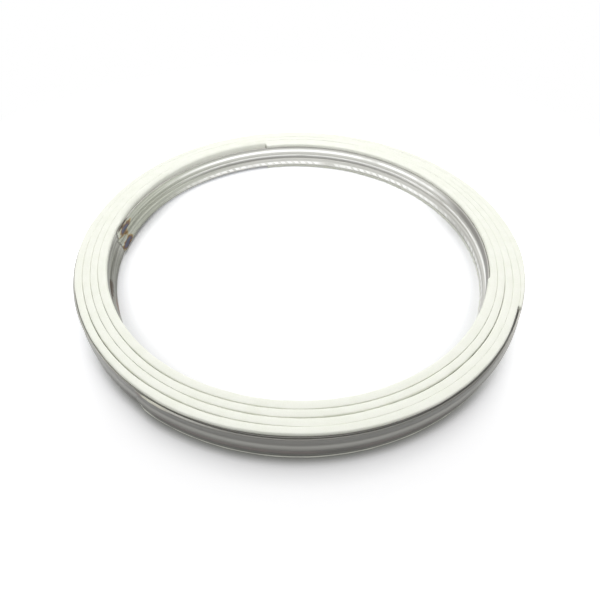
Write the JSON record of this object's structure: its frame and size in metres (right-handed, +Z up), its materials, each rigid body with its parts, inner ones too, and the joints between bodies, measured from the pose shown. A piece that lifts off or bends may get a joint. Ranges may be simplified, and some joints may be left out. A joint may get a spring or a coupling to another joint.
{
  "type": "exhaust gasket",
  "caption": "Flat wound ring gasket for an exhaust pipe joint: a thin steel strip and a soft ivory filler tape rolled up together around a round bore.",
  "frame": {"origin": "on the bore's axis, in the plane that the ring lies on", "axes": "+Z up along the bore's axis; the strip's inner end is near -X, and both pieces wind outwards clockwise seen from above"},
  "size_m": [0.055, 0.055, 0.004],
  "materials": {
    "strip_steel": "cold-rolled, dull",
    "filler": "matt, fibrous mineral paper"
  },
  "bodies": {
    "root": {"metal_strip": "strip_steel", "filler_tape": "filler"}
  },
  "joints": []
}
